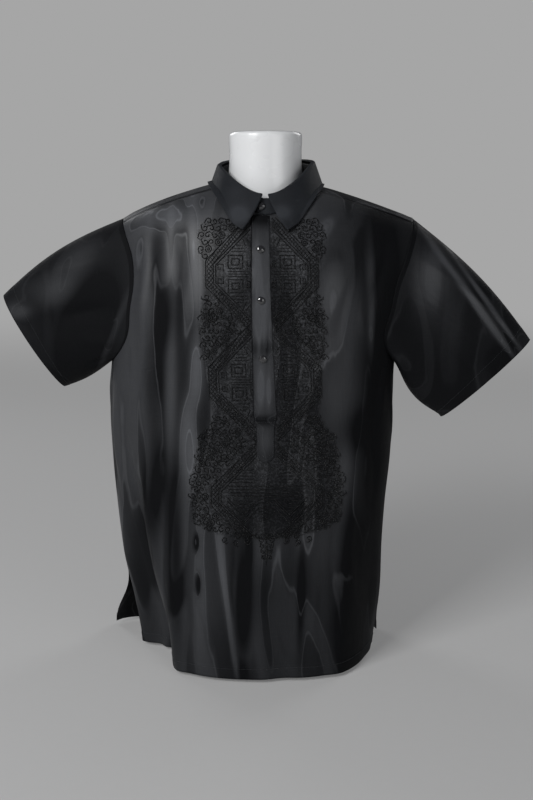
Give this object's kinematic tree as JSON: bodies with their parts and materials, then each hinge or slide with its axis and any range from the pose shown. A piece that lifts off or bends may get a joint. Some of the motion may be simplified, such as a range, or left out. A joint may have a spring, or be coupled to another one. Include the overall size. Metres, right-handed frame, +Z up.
{
  "type": "barong tagalog shirt on a dress form",
  "caption": "Short-sleeved barong tagalog with a pointed collar and half placket, filled out on a limbless white dress form that stands on its flat base.",
  "frame": {"origin": "on the ground under the middle of the whole outline, seen from above", "axes": "+Z up, the front of the shirt faces -Y, the wearer's left is at +X"},
  "size_m": [0.8438, 0.2835, 0.832],
  "materials": {
    "shirt_cloth": "stiff black organza with a watered sheen",
    "collar_cloth": "black organza, lined stiff and matt, edge stitched",
    "button": "black, faceted and glossy",
    "form_white": "smooth glossy white"
  },
  "bodies": {
    "root": {"front": "shirt_cloth", "back": "shirt_cloth", "yoke": "shirt_cloth", "sleeve_right": "shirt_cloth", "sleeve_left": "shirt_cloth", "placket": "shirt_cloth", "collar_stand": "collar_cloth", "collar_fall": "collar_cloth", "button_collar": "button", "button_1": "button", "button_2": "button", "button_3": "button", "form": "form_white"}
  },
  "joints": []
}
